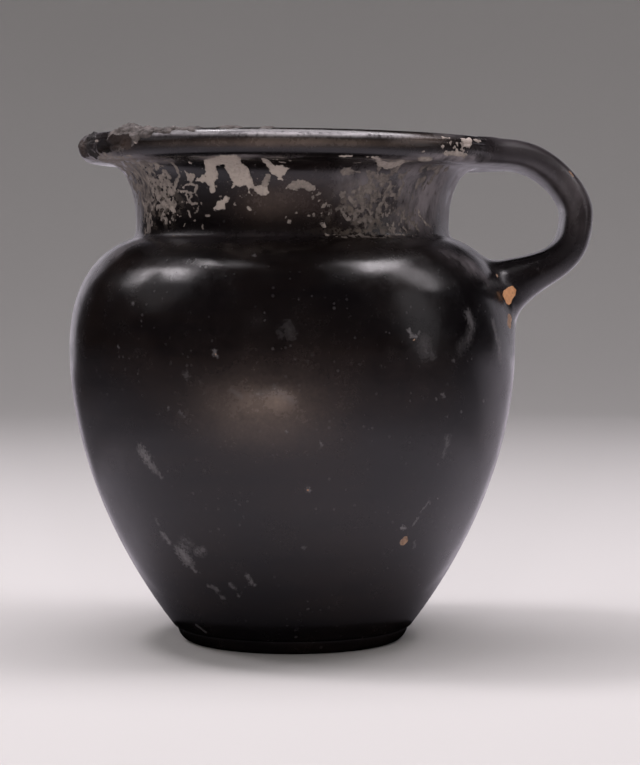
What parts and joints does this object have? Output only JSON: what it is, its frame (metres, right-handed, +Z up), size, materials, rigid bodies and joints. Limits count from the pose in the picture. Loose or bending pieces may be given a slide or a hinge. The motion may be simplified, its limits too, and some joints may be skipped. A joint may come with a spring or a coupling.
{
  "type": "olpe",
  "caption": "Squat wheel-thrown olpe in black-gloss ceramic, with a wide rolled mouth, low foot and one high strap handle, hollow and open at the top.",
  "frame": {"origin": "on the axis of the turned body, on the resting surface of the foot", "axes": "+Z up along the axis of the turned body, +X towards the handle"},
  "size_m": [0.1149, 0.098, 0.112],
  "materials": {
    "black_gloss": "black gloss, satin to glossy, worn, with beige deposits on the neck and small chips down to orange-buff clay"
  },
  "bodies": {
    "root": {"olpe": "black_gloss"}
  },
  "joints": []
}
